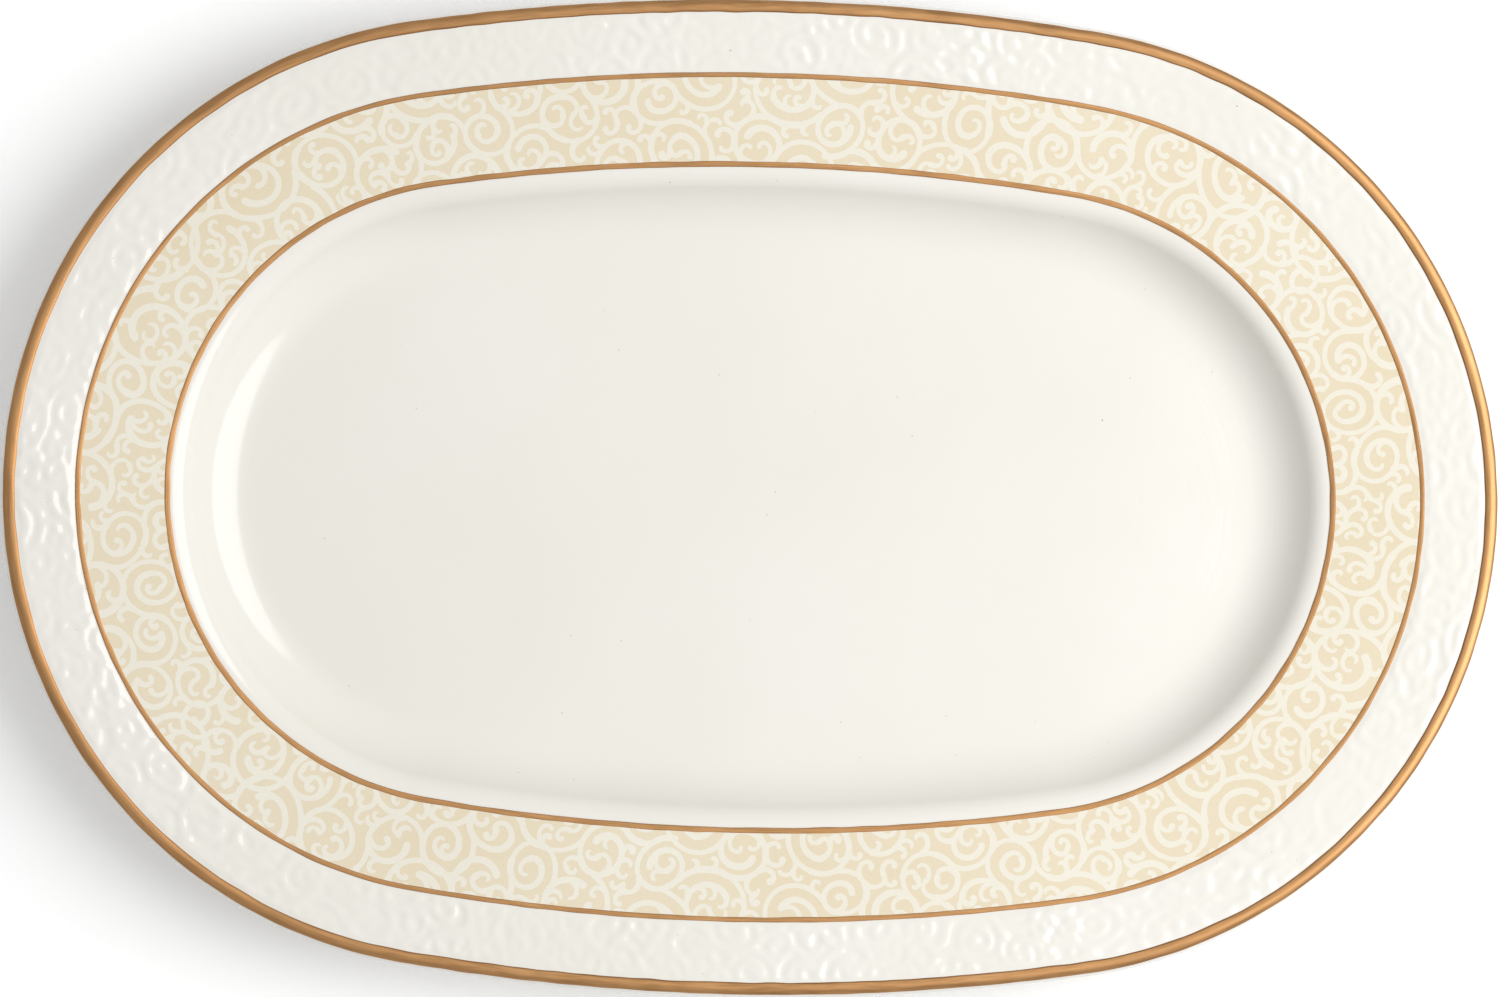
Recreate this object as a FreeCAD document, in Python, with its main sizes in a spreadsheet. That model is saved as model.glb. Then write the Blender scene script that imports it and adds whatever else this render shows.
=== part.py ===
"""Oval china serving platter: a glazed porcelain body with a printed border and gilded lines.

Millimetres, +Z up, +X along the platter. The origin is on the table, under the platter's middle.

The outline is a four-centre oval: two round ends and two flatter sides that meet in a common
tangent. Every line on the platter runs parallel to it, so each piece has one section, turned about
an end's centre and about a side's centre, and mirrored.

A section is a closed list of corners. A corner is (inset, height, centre): how far it lies inside
the outline, how high it is, and the centre that the edge from the corner before it bends about,
or None where that edge is straight.
"""
import FreeCAD, Part
import math
import os

import Sketcher

DIMENSIONS = (
    ("end_radius", 111.7, "radius of the outline's two round ends"),
    ("end_centre", 63.3, "how far the ends' centres lie from the middle, along X"),
    ("side_centre", 402.0, "how far the sides' centres lie from the middle, along Y"),
    ("rim_slope", 8.0, "degrees that the rim rises outwards"),
    ("wall_slope", 62.0, "degrees of the well's wall at its steepest"),
    ("shoulder_radius", 6.0, "bend from the rim down into the wall"),
    ("cove_radius", 15.0, "bend from the wall into the flat of the well"),
    ("cove_end", 57.5, "inset at which the flat of the well starts"),
    ("wall_thickness", 4.2, "rim and wall, glaze included; the lip is fully rounded"),
    ("floor_thickness", 5.5, "flat of the well, glaze included"),
    ("recess_height", 2.6, "underside of the floor above the table"),
    ("foot_width", 5.0, "foot ring, glaze included"),
    ("root_radius", 1.0, "hollow between the foot ring and the underside"),
    ("bearing_round", 0.8, "rounding of the foot ring's unglazed edge"),
    ("bare_height", 1.2, "height of the foot ring's unglazed edge"),
    ("glaze_thickness", 0.3, "the glaze"),
    ("line_thickness", 0.15, "the two gold lines, thicker than real gilding"),
    ("band_thickness", 0.25, "the rim's gold band, thicker than real gilding"),
    ("print_thickness", 0.12, "the border print, thicker than a real one"),
    ("rim_band_angle", 42.0, "degrees up the round of the lip at which the rim's gold starts"),
    ("rim_band_end", 3.5, "inset at which the rim's gold ends"),
    ("outer_line_start", 17.5, "inset of the gold line outside the print"),
    ("outer_line_end", 18.65, "inset at which that line ends and the print starts"),
    ("inner_line_start", 38.15, "inset at which the print ends and the inner gold line starts"),
    ("inner_line_end", 39.45, "inset at which the inner gold line ends"),
)

LIP = "(Dims.wall_thickness / 2)"
FLOOR = "(Dims.recess_height + Dims.floor_thickness)"
WALL_REACH = "(Dims.cove_radius + Dims.shoulder_radius)"
SIDE_RADIUS = "(Dims.end_radius + sqrt(Dims.end_centre ^ 2 + Dims.side_centre ^ 2))"

COVE_CENTRE = (
    "Dims.cove_end",
    f"({FLOOR} + Dims.cove_radius)",
)
SHOULDER_CENTRE = (
    f"(Dims.cove_end - {WALL_REACH} * sin(Dims.wall_slope))",
    f"({COVE_CENTRE[1]} - {WALL_REACH} * cos(Dims.wall_slope))",
)
LIP_CENTRE = (
    LIP,
    f"({SHOULDER_CENTRE[1]} + ({SHOULDER_CENTRE[0]} - {LIP}) * tan(Dims.rim_slope)"
    f" + (Dims.shoulder_radius - {LIP}) / cos(Dims.rim_slope))",
)
OUTER_ROOT_CENTRE = (
    "Dims.cove_end",
    f"({FLOOR} - Dims.wall_thickness - Dims.root_radius)",
)
FOOT_OUTSIDE = "(Dims.cove_end + Dims.root_radius)"
FOOT_INSIDE = f"({FOOT_OUTSIDE} + Dims.foot_width)"
INNER_ROOT_CENTRE = (
    f"({FOOT_INSIDE} + Dims.root_radius)",
    "(Dims.recess_height - Dims.root_radius)",
)
MIDDLE = "middle"
GLAZED = "0"
BISQUE = "Dims.glaze_thickness"


# --- corners of the section ---------------------------------------------------------------------

def cove_corner(depth, centre=None):
    """Where the well's flat meets the cove, a depth below the glazed face."""
    return ("Dims.cove_end", f"{FLOOR} - ({depth})", centre)


def wall_corner(depth, centre):
    """Where the cove meets the shoulder, at the wall's steepest."""
    inset = f"Dims.cove_end - (Dims.cove_radius + ({depth})) * sin(Dims.wall_slope)"
    height = f"{COVE_CENTRE[1]} - (Dims.cove_radius + ({depth})) * cos(Dims.wall_slope)"
    return (inset, height, centre)


def shoulder_corner(depth, centre):
    """Where the shoulder meets the straight slope of the rim."""
    inset = f"{SHOULDER_CENTRE[0]} + (Dims.shoulder_radius - ({depth})) * sin(Dims.rim_slope)"
    height = f"{SHOULDER_CENTRE[1]} + (Dims.shoulder_radius - ({depth})) * cos(Dims.rim_slope)"
    return (inset, height, centre)


def lip_corner(depth, angle, centre=LIP_CENTRE):
    """A point on the round of the lip, the angle up from its outermost point."""
    inset = f"{LIP} - ({LIP} - ({depth})) * cos({angle})"
    height = f"{LIP_CENTRE[1]} + ({LIP} - ({depth})) * sin({angle})"
    return (inset, height, centre)


def rim_corner(start, depth, centre=None):
    """A point on the rim's slope, square under the place that has this inset on the glaze."""
    inset = f"{start} - ({depth}) * sin(Dims.rim_slope)"
    glazed = (
        f"{SHOULDER_CENTRE[1]} + ({SHOULDER_CENTRE[0]} - {start}) * tan(Dims.rim_slope)"
        f" + Dims.shoulder_radius / cos(Dims.rim_slope)"
    )
    return (inset, f"{glazed} - ({depth}) * cos(Dims.rim_slope)", centre)


TOP_OF_LIP = "90 + Dims.rim_slope"
UNDER_LIP = "Dims.rim_slope - 90"


def face_and_underside(skin):
    """The section's corners from the well over the lip to the foot ring, a skin below the glaze."""
    under = f"Dims.wall_thickness - ({skin})"
    return [
        (MIDDLE, f"{FLOOR} - ({skin})", None),
        cove_corner(skin),
        wall_corner(skin, COVE_CENTRE),
        shoulder_corner(skin, SHOULDER_CENTRE),
        lip_corner(skin, TOP_OF_LIP, None),
        lip_corner(skin, "0"),
        lip_corner(skin, UNDER_LIP),
        shoulder_corner(under, None),
        wall_corner(under, SHOULDER_CENTRE),
        cove_corner(under, COVE_CENTRE),
        (f"{FOOT_OUTSIDE} + ({skin})", OUTER_ROOT_CENTRE[1], OUTER_ROOT_CENTRE),
    ]


def foot_inside_and_recess(skin):
    """The section's corners from inside the foot ring to the middle of the recess, below the glaze."""
    return [
        (f"{FOOT_INSIDE} - ({skin})", INNER_ROOT_CENTRE[1], None),
        (INNER_ROOT_CENTRE[0], f"Dims.recess_height + ({skin})", INNER_ROOT_CENTRE),
        (MIDDLE, f"Dims.recess_height + ({skin})", None),
    ]


def back_along(corners):
    """The same corners the other way round, each with the bend of the edge that now leads to it."""
    bends = [None] + [corner[2] for corner in reversed(corners)]
    return [(corner[0], corner[1], bend) for corner, bend in zip(reversed(corners), bends)]


# --- sections -----------------------------------------------------------------------------------

def body_section():
    outside = f"{FOOT_OUTSIDE} + {BISQUE}"
    inside = f"{FOOT_INSIDE} - {BISQUE}"
    foot = [
        (outside, "Dims.bearing_round", None),
        (f"{outside} + Dims.bearing_round", "0", (f"{outside} + Dims.bearing_round", "Dims.bearing_round")),
        (f"{inside} - Dims.bearing_round", "0", None),
        (inside, "Dims.bearing_round", (f"{inside} - Dims.bearing_round", "Dims.bearing_round")),
    ]
    return face_and_underside(BISQUE) + foot + foot_inside_and_recess(BISQUE)


def glaze_section():
    edge = [
        (FOOT_OUTSIDE, "Dims.bare_height", None),
        (f"{FOOT_OUTSIDE} + {BISQUE}", "Dims.bare_height", None),
    ]
    return face_and_underside(GLAZED) + edge + back_along(face_and_underside(BISQUE))


def recess_glaze_section():
    edge = [
        (f"{FOOT_INSIDE} - {BISQUE}", "Dims.bare_height", None),
        (FOOT_INSIDE, "Dims.bare_height", None),
    ]
    return edge + foot_inside_and_recess(GLAZED) + back_along(foot_inside_and_recess(BISQUE))


def rim_band_section():
    raised = "-Dims.band_thickness"
    return [
        lip_corner(GLAZED, "Dims.rim_band_angle", None),
        lip_corner(GLAZED, TOP_OF_LIP),
        rim_corner("Dims.rim_band_end", GLAZED),
        rim_corner("Dims.rim_band_end", raised),
        lip_corner(raised, TOP_OF_LIP, None),
        lip_corner(raised, "Dims.rim_band_angle"),
    ]


def slope_section(start, end, thickness):
    """A flat layer on the rim's slope, between two insets."""
    raised = f"-{thickness}"
    return [
        rim_corner(start, GLAZED),
        rim_corner(end, GLAZED),
        rim_corner(end, raised),
        rim_corner(start, raised),
    ]


# --- sketches and features ----------------------------------------------------------------------

def make_sheet(doc):
    sheet = doc.addObject("Spreadsheet::Sheet", "Dims")
    for row, (alias, value, meaning) in enumerate(DIMENSIONS, start=1):
        sheet.set(f"A{row}", alias)
        sheet.set(f"B{row}", str(value))
        sheet.setAlias(f"B{row}", alias)
        sheet.set(f"C{row}", meaning)
    doc.recompute()
    return sheet


def origin_plane(body, role):
    return next(item for item in body.Origin.OriginFeatures if item.Role == role)


def number(sheet, expression):
    """What an expression on the sheet comes to, as a plain number."""
    value = sheet.evalExpression(expression.replace("Dims.", ""))
    return float(getattr(value, "Value", value))


def arc_between(start, end, centre):
    """The shorter arc from start to end about centre, and whether it runs anticlockwise."""
    start_angle = math.atan2(start.y - centre.y, start.x - centre.x)
    end_angle = math.atan2(end.y - centre.y, end.x - centre.x)
    anticlockwise = math.sin(end_angle - start_angle) > 0
    circle = Part.Circle(centre, FreeCAD.Vector(0, 0, 1), start.distanceToPoint(centre))
    if anticlockwise:
        return Part.ArcOfCircle(circle, start_angle, end_angle), True
    return Part.ArcOfCircle(circle, end_angle, start_angle), False


def draw_edges(sketch, points, centres):
    """Line or arc from each corner to the next; gives the edges' first and last vertex numbers."""
    ends = []
    for index, start in enumerate(points):
        following = (index + 1) % len(points)
        end = points[following]
        centre = centres[following]
        anticlockwise = True
        if centre is None:
            edge = Part.LineSegment(start, end)
        else:
            edge, anticlockwise = arc_between(start, end, centre)
        sketch.addGeometry(edge, False)
        ends.append((1, 2) if anticlockwise else (2, 1))
    return ends


def hold(sketch, kind, references, value, expression):
    """A dimension that follows the sheet."""
    index = sketch.addConstraint(Sketcher.Constraint(kind, *references, value))
    sketch.setExpression(f"Constraints[{index}]", expression)


def hold_corner(sketch, edge, vertex, across, point):
    """Fix a corner by its two distances, or on an axis of the sketch where a distance is nought."""
    x_expression, y_expression = across
    if abs(point.x) < 1e-9:
        sketch.addConstraint(Sketcher.Constraint("PointOnObject", edge, vertex, -2))
    else:
        hold(sketch, "DistanceX", (-1, 1, edge, vertex), point.x, x_expression)
    if abs(point.y) < 1e-9:
        sketch.addConstraint(Sketcher.Constraint("PointOnObject", edge, vertex, -1))
    else:
        hold(sketch, "DistanceY", (-1, 1, edge, vertex), point.y, y_expression)


def draw_section(sketch, sheet, section, arc_radius, middle):
    """Draw a section as seen from the centre of one of the outline's arcs."""
    def across(inset, height):
        if inset == MIDDLE:
            return (middle, height)
        return (f"{arc_radius} - ({inset})", height)

    def place(inset, height):
        x_expression, y_expression = across(inset, height)
        return FreeCAD.Vector(number(sheet, x_expression), number(sheet, y_expression), 0)

    points = [place(inset, height) for inset, height, _ in section]
    centres = [place(*bend) if bend else None for _, _, bend in section]
    ends = draw_edges(sketch, points, centres)
    for index, (inset, height, _) in enumerate(section):
        before = index - 1 if index else len(section) - 1
        sketch.addConstraint(
            Sketcher.Constraint("Coincident", before, ends[before][1], index, ends[index][0])
        )
        hold_corner(sketch, index, ends[index][0], across(inset, height), points[index])
        if centres[index] is not None:
            corner = across(inset, height)
            bend = across(*section[index][2])
            radius = f"sqrt(({corner[0]} - ({bend[0]})) ^ 2 + ({corner[1]} - ({bend[1]})) ^ 2)"
            hold(sketch, "Radius", (before,), points[index].distanceToPoint(centres[index]), radius)


def turned_section(body, sheet, section, name, plane, axis_place, arc_radius, middle, angle):
    """One arc of the oval: the section turned about the arc's own centre."""
    sketch = body.newObject("Sketcher::SketchObject", f"{name}Sketch")
    sketch.AttachmentSupport = (plane, [""])
    sketch.MapMode = "FlatFace"
    sketch.setExpression("AttachmentOffset.Base.x", axis_place)
    draw_section(sketch, sheet, section, arc_radius, middle)
    turned = body.newObject("PartDesign::Revolution", name)
    turned.Profile = sketch
    turned.ReferenceAxis = (sketch, ["V_Axis"])
    turned.Midplane = True
    turned.Refine = True
    turned.setExpression("Angle", angle)
    body.Tip = turned
    body.Document.recompute()
    return turned


def mirrored(body, feature, name, plane):
    mirror = body.newObject("PartDesign::Mirrored", name)
    mirror.Originals = [feature]
    mirror.MirrorPlane = (plane, [""])
    mirror.Refine = True
    body.Tip = mirror
    body.Document.recompute()


def oval_piece(doc, sheet, label, section):
    """One piece of the platter: both ends and both sides from the same section."""
    body = doc.addObject("PartDesign::Body", label)
    body.Label = label
    body.Placement = FreeCAD.Placement()
    across_ends = origin_plane(body, "XZ_Plane")
    across_sides = origin_plane(body, "YZ_Plane")
    end = turned_section(
        body, sheet, section, f"{label}_end", across_ends, "Dims.end_centre",
        "Dims.end_radius", "0", "2 * atan(Dims.side_centre / Dims.end_centre)",
    )
    side = turned_section(
        body, sheet, section, f"{label}_side", across_sides, "-Dims.side_centre",
        SIDE_RADIUS, "Dims.side_centre", "2 * atan(Dims.end_centre / Dims.side_centre)",
    )
    mirrored(body, end, f"{label}_other_end", across_sides)
    mirrored(body, side, f"{label}_other_side", across_ends)
    return body


def check(doc, pieces):
    """Stop if anything in the document failed, or a piece isn't one sound solid."""
    failed = [item.Name for item in doc.Objects if {"Invalid", "Error"} & set(item.State)]
    if failed:
        raise RuntimeError(f"failed objects: {failed}")
    for piece in pieces:
        shape = piece.Shape
        if shape.isNull() or not shape.isValid() or len(shape.Solids) != 1:
            raise RuntimeError(f"{piece.Label} isn't one valid solid")


def main():
    doc = FreeCAD.newDocument("platter")
    sheet = make_sheet(doc)
    sections = {
        "platter_body": body_section(),
        "glaze_coat": glaze_section(),
        "foot_recess_glaze": recess_glaze_section(),
        "ivory_border_print": slope_section(
            "Dims.outer_line_end", "Dims.inner_line_start", "Dims.print_thickness"
        ),
        "gold_rim_band": rim_band_section(),
        "gold_line_outer": slope_section(
            "Dims.outer_line_start", "Dims.outer_line_end", "Dims.line_thickness"
        ),
        "gold_line_inner": slope_section(
            "Dims.inner_line_start", "Dims.inner_line_end", "Dims.line_thickness"
        ),
    }
    pieces = [oval_piece(doc, sheet, label, section) for label, section in sections.items()]
    doc.recompute()
    check(doc, pieces)
    os.makedirs("parts", exist_ok=True)
    for piece in pieces:
        box = piece.Shape.optimalBoundingBox(False)
        print(
            f"{piece.Label}: {piece.Shape.Volume:.1f} mm3,"
            f" {box.XLength:.2f} x {box.YLength:.2f} x {box.ZLength:.2f}, from z {box.ZMin:.3f}"
        )
        piece.Shape.exportStep(f"parts/{piece.Label}.step")


main()
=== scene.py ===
"""Oval china serving platter: glaze, embossed rim, printed border and gilding round the CAD frame."""

import math
import random

import bpy
import numpy as np
from mathutils.geometry import delaunay_2d_cdt
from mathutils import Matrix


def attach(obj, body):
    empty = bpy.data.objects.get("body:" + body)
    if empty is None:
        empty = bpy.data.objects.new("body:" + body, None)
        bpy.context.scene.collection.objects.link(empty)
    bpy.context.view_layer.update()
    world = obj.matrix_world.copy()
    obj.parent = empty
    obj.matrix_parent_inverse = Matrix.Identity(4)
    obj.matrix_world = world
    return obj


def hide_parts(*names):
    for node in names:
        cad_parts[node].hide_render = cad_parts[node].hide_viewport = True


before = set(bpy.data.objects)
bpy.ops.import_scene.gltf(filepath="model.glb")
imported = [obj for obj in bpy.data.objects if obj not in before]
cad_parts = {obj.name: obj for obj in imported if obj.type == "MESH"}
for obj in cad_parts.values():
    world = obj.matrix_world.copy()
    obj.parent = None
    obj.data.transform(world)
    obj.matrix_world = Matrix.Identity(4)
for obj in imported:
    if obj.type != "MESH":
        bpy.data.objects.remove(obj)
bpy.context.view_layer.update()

# Lengths are in millimetres until a mesh is made.
MM = 0.001
MM_PER_DECIMETRE = 100

# The oval outline: two end arcs and two side arcs that meet at a tangent.
END_RADIUS = 111.7
END_CENTRE = 63.3
SIDE_CENTRE = 402.0
SIDE_RADIUS = END_RADIUS + math.hypot(END_CENTRE, SIDE_CENTRE)
END_TURN = math.atan2(SIDE_CENTRE, END_CENTRE)

# Arc length is counted along the middle of the printed band.
BAND_INSET = 28.5
END_LENGTH = (END_RADIUS - BAND_INSET) * END_TURN
SIDE_LENGTH = (SIDE_RADIUS - BAND_INSET) * (math.pi - 2 * END_TURN)
HALF_ROUND = 2 * END_LENGTH + SIDE_LENGTH
FULL_ROUND = 2 * HALF_ROUND

# The section: inset from the outline and height above the table.
RIM_SLOPE = math.radians(8)
WALL_SLOPE = math.radians(62)
FLOOR_HEIGHT = 8.1
COVE_END = 57.5
COVE_RADIUS = 15.0
SHOULDER_RADIUS = 6.0
WALL_THICKNESS = 4.2
GLAZE_THICKNESS = 0.3
FOOT_OUTSIDE = 58.5
FOOT_INSIDE = 63.5
ROOT_RADIUS = 1.0
RECESS_HEIGHT = 2.6
BARE_HEIGHT = 1.2
GOLD_LIP_ANGLE = math.radians(42)
GOLD_LIP_END = 3.5
OUTER_LINE = (17.5, 18.65)
INNER_LINE = (38.15, 39.45)
PRINT_START = 18.0
PRINT_LOW = 0.3
PRINT_HIGH = 20.75
PRINT_THICKNESS = 0.12

# How far the print, the gold and the relief reach down into the glaze, and how high the relief rises.
LAYER_ROOT = 0.05
RELIEF_ROOT = 0.1
RELIEF_BASE = 0.03
RELIEF_RISE = 0.42

# The section's three circles, each as inset, height and radius.
CENTRES_APART = COVE_RADIUS + SHOULDER_RADIUS
LIP_RADIUS = WALL_THICKNESS / 2
COVE = (COVE_END, FLOOR_HEIGHT + COVE_RADIUS, COVE_RADIUS)
SHOULDER = (COVE[0] - CENTRES_APART * math.sin(WALL_SLOPE),
            COVE[1] - CENTRES_APART * math.cos(WALL_SLOPE),
            SHOULDER_RADIUS)
LIP = (LIP_RADIUS,
       SHOULDER[1] + (SHOULDER_RADIUS - LIP_RADIUS) / math.cos(RIM_SLOPE)
       + (SHOULDER[0] - LIP_RADIUS) * math.tan(RIM_SLOPE),
       LIP_RADIUS)


# ---------------------------------------------------------------- outline and section

def place(u, inset):
    """Plan position of points that lie at arc length u and at an inset from the outline."""
    u = np.mod(np.asarray(u, float), FULL_ROUND)
    side = np.where(u >= HALF_ROUND, -1.0, 1.0)
    u = np.mod(u, HALF_ROUND)
    first = u < END_LENGTH
    last = u >= END_LENGTH + SIDE_LENGTH
    angle = np.where(first, u / (END_RADIUS - BAND_INSET),
                     END_TURN + (u - END_LENGTH) / (SIDE_RADIUS - BAND_INSET))
    left = math.pi - END_TURN + (u - END_LENGTH - SIDE_LENGTH) / (END_RADIUS - BAND_INSET)
    angle = np.where(last, left, angle)
    centre_x = np.where(first, END_CENTRE, np.where(last, -END_CENTRE, 0.0))
    centre_y = np.where(first | last, 0.0, -SIDE_CENTRE)
    radius = np.where(first | last, END_RADIUS, SIDE_RADIUS) - inset
    x = centre_x + radius * np.cos(angle)
    y = centre_y + radius * np.sin(angle)
    return side * x, side * y


def arc(circle, start, end, steps, sign=1.0, depth=0.0):
    """Section points along an arc whose normal is given by its angle from straight up."""
    inset, height, radius = circle
    points = []
    for step in range(steps + 1):
        angle = start + (end - start) * step / steps
        reach = sign * radius - depth
        points.append((inset + reach * math.sin(angle), height + reach * math.cos(angle)))
    return points


def rim_height(inset):
    """Height of the sloping rim's upper surface."""
    tangent = SHOULDER[1] + SHOULDER[2] * math.cos(RIM_SLOPE)
    start = SHOULDER[0] + SHOULDER[2] * math.sin(RIM_SLOPE)
    return tangent + (start - inset) * math.tan(RIM_SLOPE)


def on_rim(inset, rise):
    """A section point at a height above the sloping rim's surface, measured square to it."""
    return inset + rise * math.sin(RIM_SLOPE), rim_height(inset) + rise * math.cos(RIM_SLOPE)


def between(start, end, steps):
    """Section points that divide the straight stretch from start to end, without its ends."""
    points = []
    for step in range(1, steps):
        part = step / steps
        points.append(tuple(a + (b - a) * part for a, b in zip(start, end)))
    return points


def face_section(depth):
    """From the edge of the flat floor, up the wall, over the rim and lip and back to the foot."""
    under = WALL_THICKNESS - depth
    points = arc(COVE, 0, WALL_SLOPE, 12, -1.0, depth)
    points += arc(SHOULDER, WALL_SLOPE, RIM_SLOPE, 8, 1.0, depth)[1:]
    lip = arc(LIP, RIM_SLOPE, RIM_SLOPE - math.pi, 20, 1.0, depth)
    points += between(points[-1], lip[0], 10)
    points += lip
    lower = arc(SHOULDER, RIM_SLOPE, WALL_SLOPE, 5, 1.0, under)
    points += between(lip[-1], lower[0], 6)
    points += lower
    points += arc(COVE, WALL_SLOPE, 0, 8, -1.0, under)[1:]
    root = (COVE_END, FLOOR_HEIGHT - WALL_THICKNESS - ROOT_RADIUS, ROOT_RADIUS)
    points += arc(root, 0, math.pi / 2, 4, 1.0, -depth)[1:]
    points.append((FOOT_OUTSIDE + depth, BARE_HEIGHT))
    return points


def oval_columns(count):
    """Arc lengths of evenly spaced columns, the first at the right-hand end."""
    return np.arange(count) * FULL_ROUND / count


def swept_points(columns, rows):
    """Vertices of a section carried round the oval.

    Each row is an inset and a height, either one number or one for each column.
    """
    points = []
    for inset, height in rows:
        x, y = place(columns, inset)
        z = np.broadcast_to(height, x.shape)
        points.append(np.stack((x, y, z), axis=1))
    return np.concatenate(points)


def swept_faces(count, rows, closed):
    """Quads between neighbouring rows, and between the last row and the first if it is closed."""
    column = np.arange(count)
    after = (column + 1) % count
    faces = []
    for row in range(rows if closed else rows - 1):
        low = row * count
        high = (row + 1) % rows * count
        faces.append(np.stack((low + column, high + column, high + after, low + after), axis=1))
    return np.concatenate(faces).tolist()


def cap_faces(count, first, upward):
    """Strips that fill a ring of vertices, whose first one is at the oval's right-hand end."""
    faces = []
    for column in range(count // 2):
        face = [first + column, first + column + 1,
                first + count - column - 1, first + (count - column) % count]
        face = list(dict.fromkeys(face))
        faces.append(face if upward else face[::-1])
    return faces


def shell_faces(count, rows):
    """Faces of a swept layer that is closed by a cap on its first row and one on its last."""
    faces = swept_faces(count, rows, False)
    faces += cap_faces(count, 0, True)
    faces += cap_faces(count, (rows - 1) * count, False)
    return faces


# ---------------------------------------------------------------- mesh pieces

def map_surface(mesh, coordinates):
    """A UV map of arc length and inset, in decimetres, that runs on across the oval's start."""
    uv = mesh.uv_layers.new(name="round_and_inset")
    corner_vertices = np.empty(len(mesh.loops), dtype=np.int32)
    mesh.loops.foreach_get("vertex_index", corner_vertices)
    corner_values = np.asarray(coordinates, float)[corner_vertices]
    totals = np.empty(len(mesh.polygons), dtype=np.int32)
    mesh.polygons.foreach_get("loop_total", totals)
    owner = np.repeat(np.arange(len(totals)), totals)
    highest = np.zeros(len(totals))
    np.maximum.at(highest, owner, corner_values[:, 0])
    seam = corner_values[:, 0] < highest[owner] - HALF_ROUND
    corner_values[seam, 0] += FULL_ROUND
    uv.data.foreach_set("uv", (corner_values / MM_PER_DECIMETRE).ravel())


def make_piece(name, points, faces, material, coordinates, replaced=(), crease=40):
    """A visible piece of the object, smooth but for edges sharper than the crease, in degrees."""
    mesh = bpy.data.meshes.new(name)
    mesh.from_pydata((np.asarray(points) * MM).tolist(), [], faces)
    mesh.validate()
    map_surface(mesh, coordinates)
    mesh.shade_smooth()
    mesh.set_sharp_from_angle(angle=math.radians(crease))
    mesh.materials.append(material)
    piece = bpy.data.objects.new(name, mesh)
    bpy.context.scene.collection.objects.link(piece)
    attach(piece, "root")
    if replaced:
        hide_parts(*replaced)


def swept_coordinates(columns, rows):
    """Arc length and inset of every vertex of a swept mesh."""
    parts = []
    for inset, _ in rows:
        insets = np.broadcast_to(inset, columns.shape)
        parts.append(np.stack((columns, insets), axis=1))
    return np.concatenate(parts)


def glaze_skin(material):
    """The glaze over the whole face, the lip and the underside, closed by its own inner side."""
    count = 600
    columns = oval_columns(count)
    floor_insets = (88.0, 80.0, 73.0, 67.0, 62.0)
    outer = [(inset, FLOOR_HEIGHT) for inset in floor_insets] + face_section(0.0)
    inner = [(inset, FLOOR_HEIGHT - GLAZE_THICKNESS) for inset in floor_insets]
    inner += face_section(GLAZE_THICKNESS)
    rows = outer + inner[::-1]
    make_piece("glaze_skin", swept_points(columns, rows), shell_faces(count, len(rows)), material,
               swept_coordinates(columns, rows), ["glaze_coat"])


def recess_glaze(material):
    """The glaze inside the foot ring, closed by its own upper side."""
    count = 480
    columns = oval_columns(count)
    root = (FOOT_INSIDE + ROOT_RADIUS, RECESS_HEIGHT - ROOT_RADIUS, ROOT_RADIUS)
    insets = (68.0, 73.0, 80.0, 88.0)

    def side(depth):
        """One side of the glaze, at a depth above the recess's surface."""
        rows = [(FOOT_INSIDE - depth, BARE_HEIGHT)]
        rows += arc(root, -math.pi / 2, 0, 5, 1.0, -depth)
        rows += [(inset, RECESS_HEIGHT + depth) for inset in insets]
        return rows

    rows = side(0.0)[::-1] + side(GLAZE_THICKNESS)
    faces = [face[::-1] for face in shell_faces(count, len(rows))]
    make_piece("recess_glaze", swept_points(columns, rows), faces, material,
               swept_coordinates(columns, rows), ["foot_recess_glaze"])


# ---------------------------------------------------------------- scrollwork

def shortest(step, period):
    """A difference in arc length, taken the shorter way round."""
    return (step + period / 2) % period - period / 2


def pack_circles(draw, period, low, high, sizes, gap):
    """Circles that keep clear of each other, the largest first, on a strip that repeats."""
    circles = []
    for radius, tries in sizes:
        for _ in range(tries):
            u = draw.uniform(0, period)
            v = draw.uniform(low, high)
            clear = True
            for other_u, other_v, other_radius in circles:
                apart = math.hypot(shortest(u - other_u, period), v - other_v)
                if apart < radius + other_radius + gap:
                    clear = False
                    break
            if clear:
                circles.append([u, v, radius * draw.uniform(0.90, 1.05)])
    return circles


def neighbours(mine, circles, period, gap):
    """The other circles nearby, as the free distance and the direction to each, nearest first."""
    furthest = 20
    near = []
    for other in circles:
        du = shortest(other[0] - mine[0], period)
        if other is mine or abs(du) > furthest:
            continue
        dv = other[1] - mine[1]
        apart = math.hypot(du, dv)
        near.append((apart - mine[2] - other[2] - gap, du / apart, dv / apart))
    return sorted(near)


def settle_circles(circles, period, low, high, gap):
    """Draws each circle towards its nearest neighbours until they nearly touch."""
    rounds = 30
    drawn_from = 3.5
    push = 0.5
    draw_in = 0.12
    for _ in range(rounds):
        for mine in circles:
            for free, east, north in neighbours(mine, circles, period, gap)[:4]:
                pull = push if free < 0 else draw_in
                if free < drawn_from:
                    mine[0] = (mine[0] + east * free * pull) % period
                    mine[1] += north * free * pull
            mine[1] = min(max(mine[1], low), high)
    return circles


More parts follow.
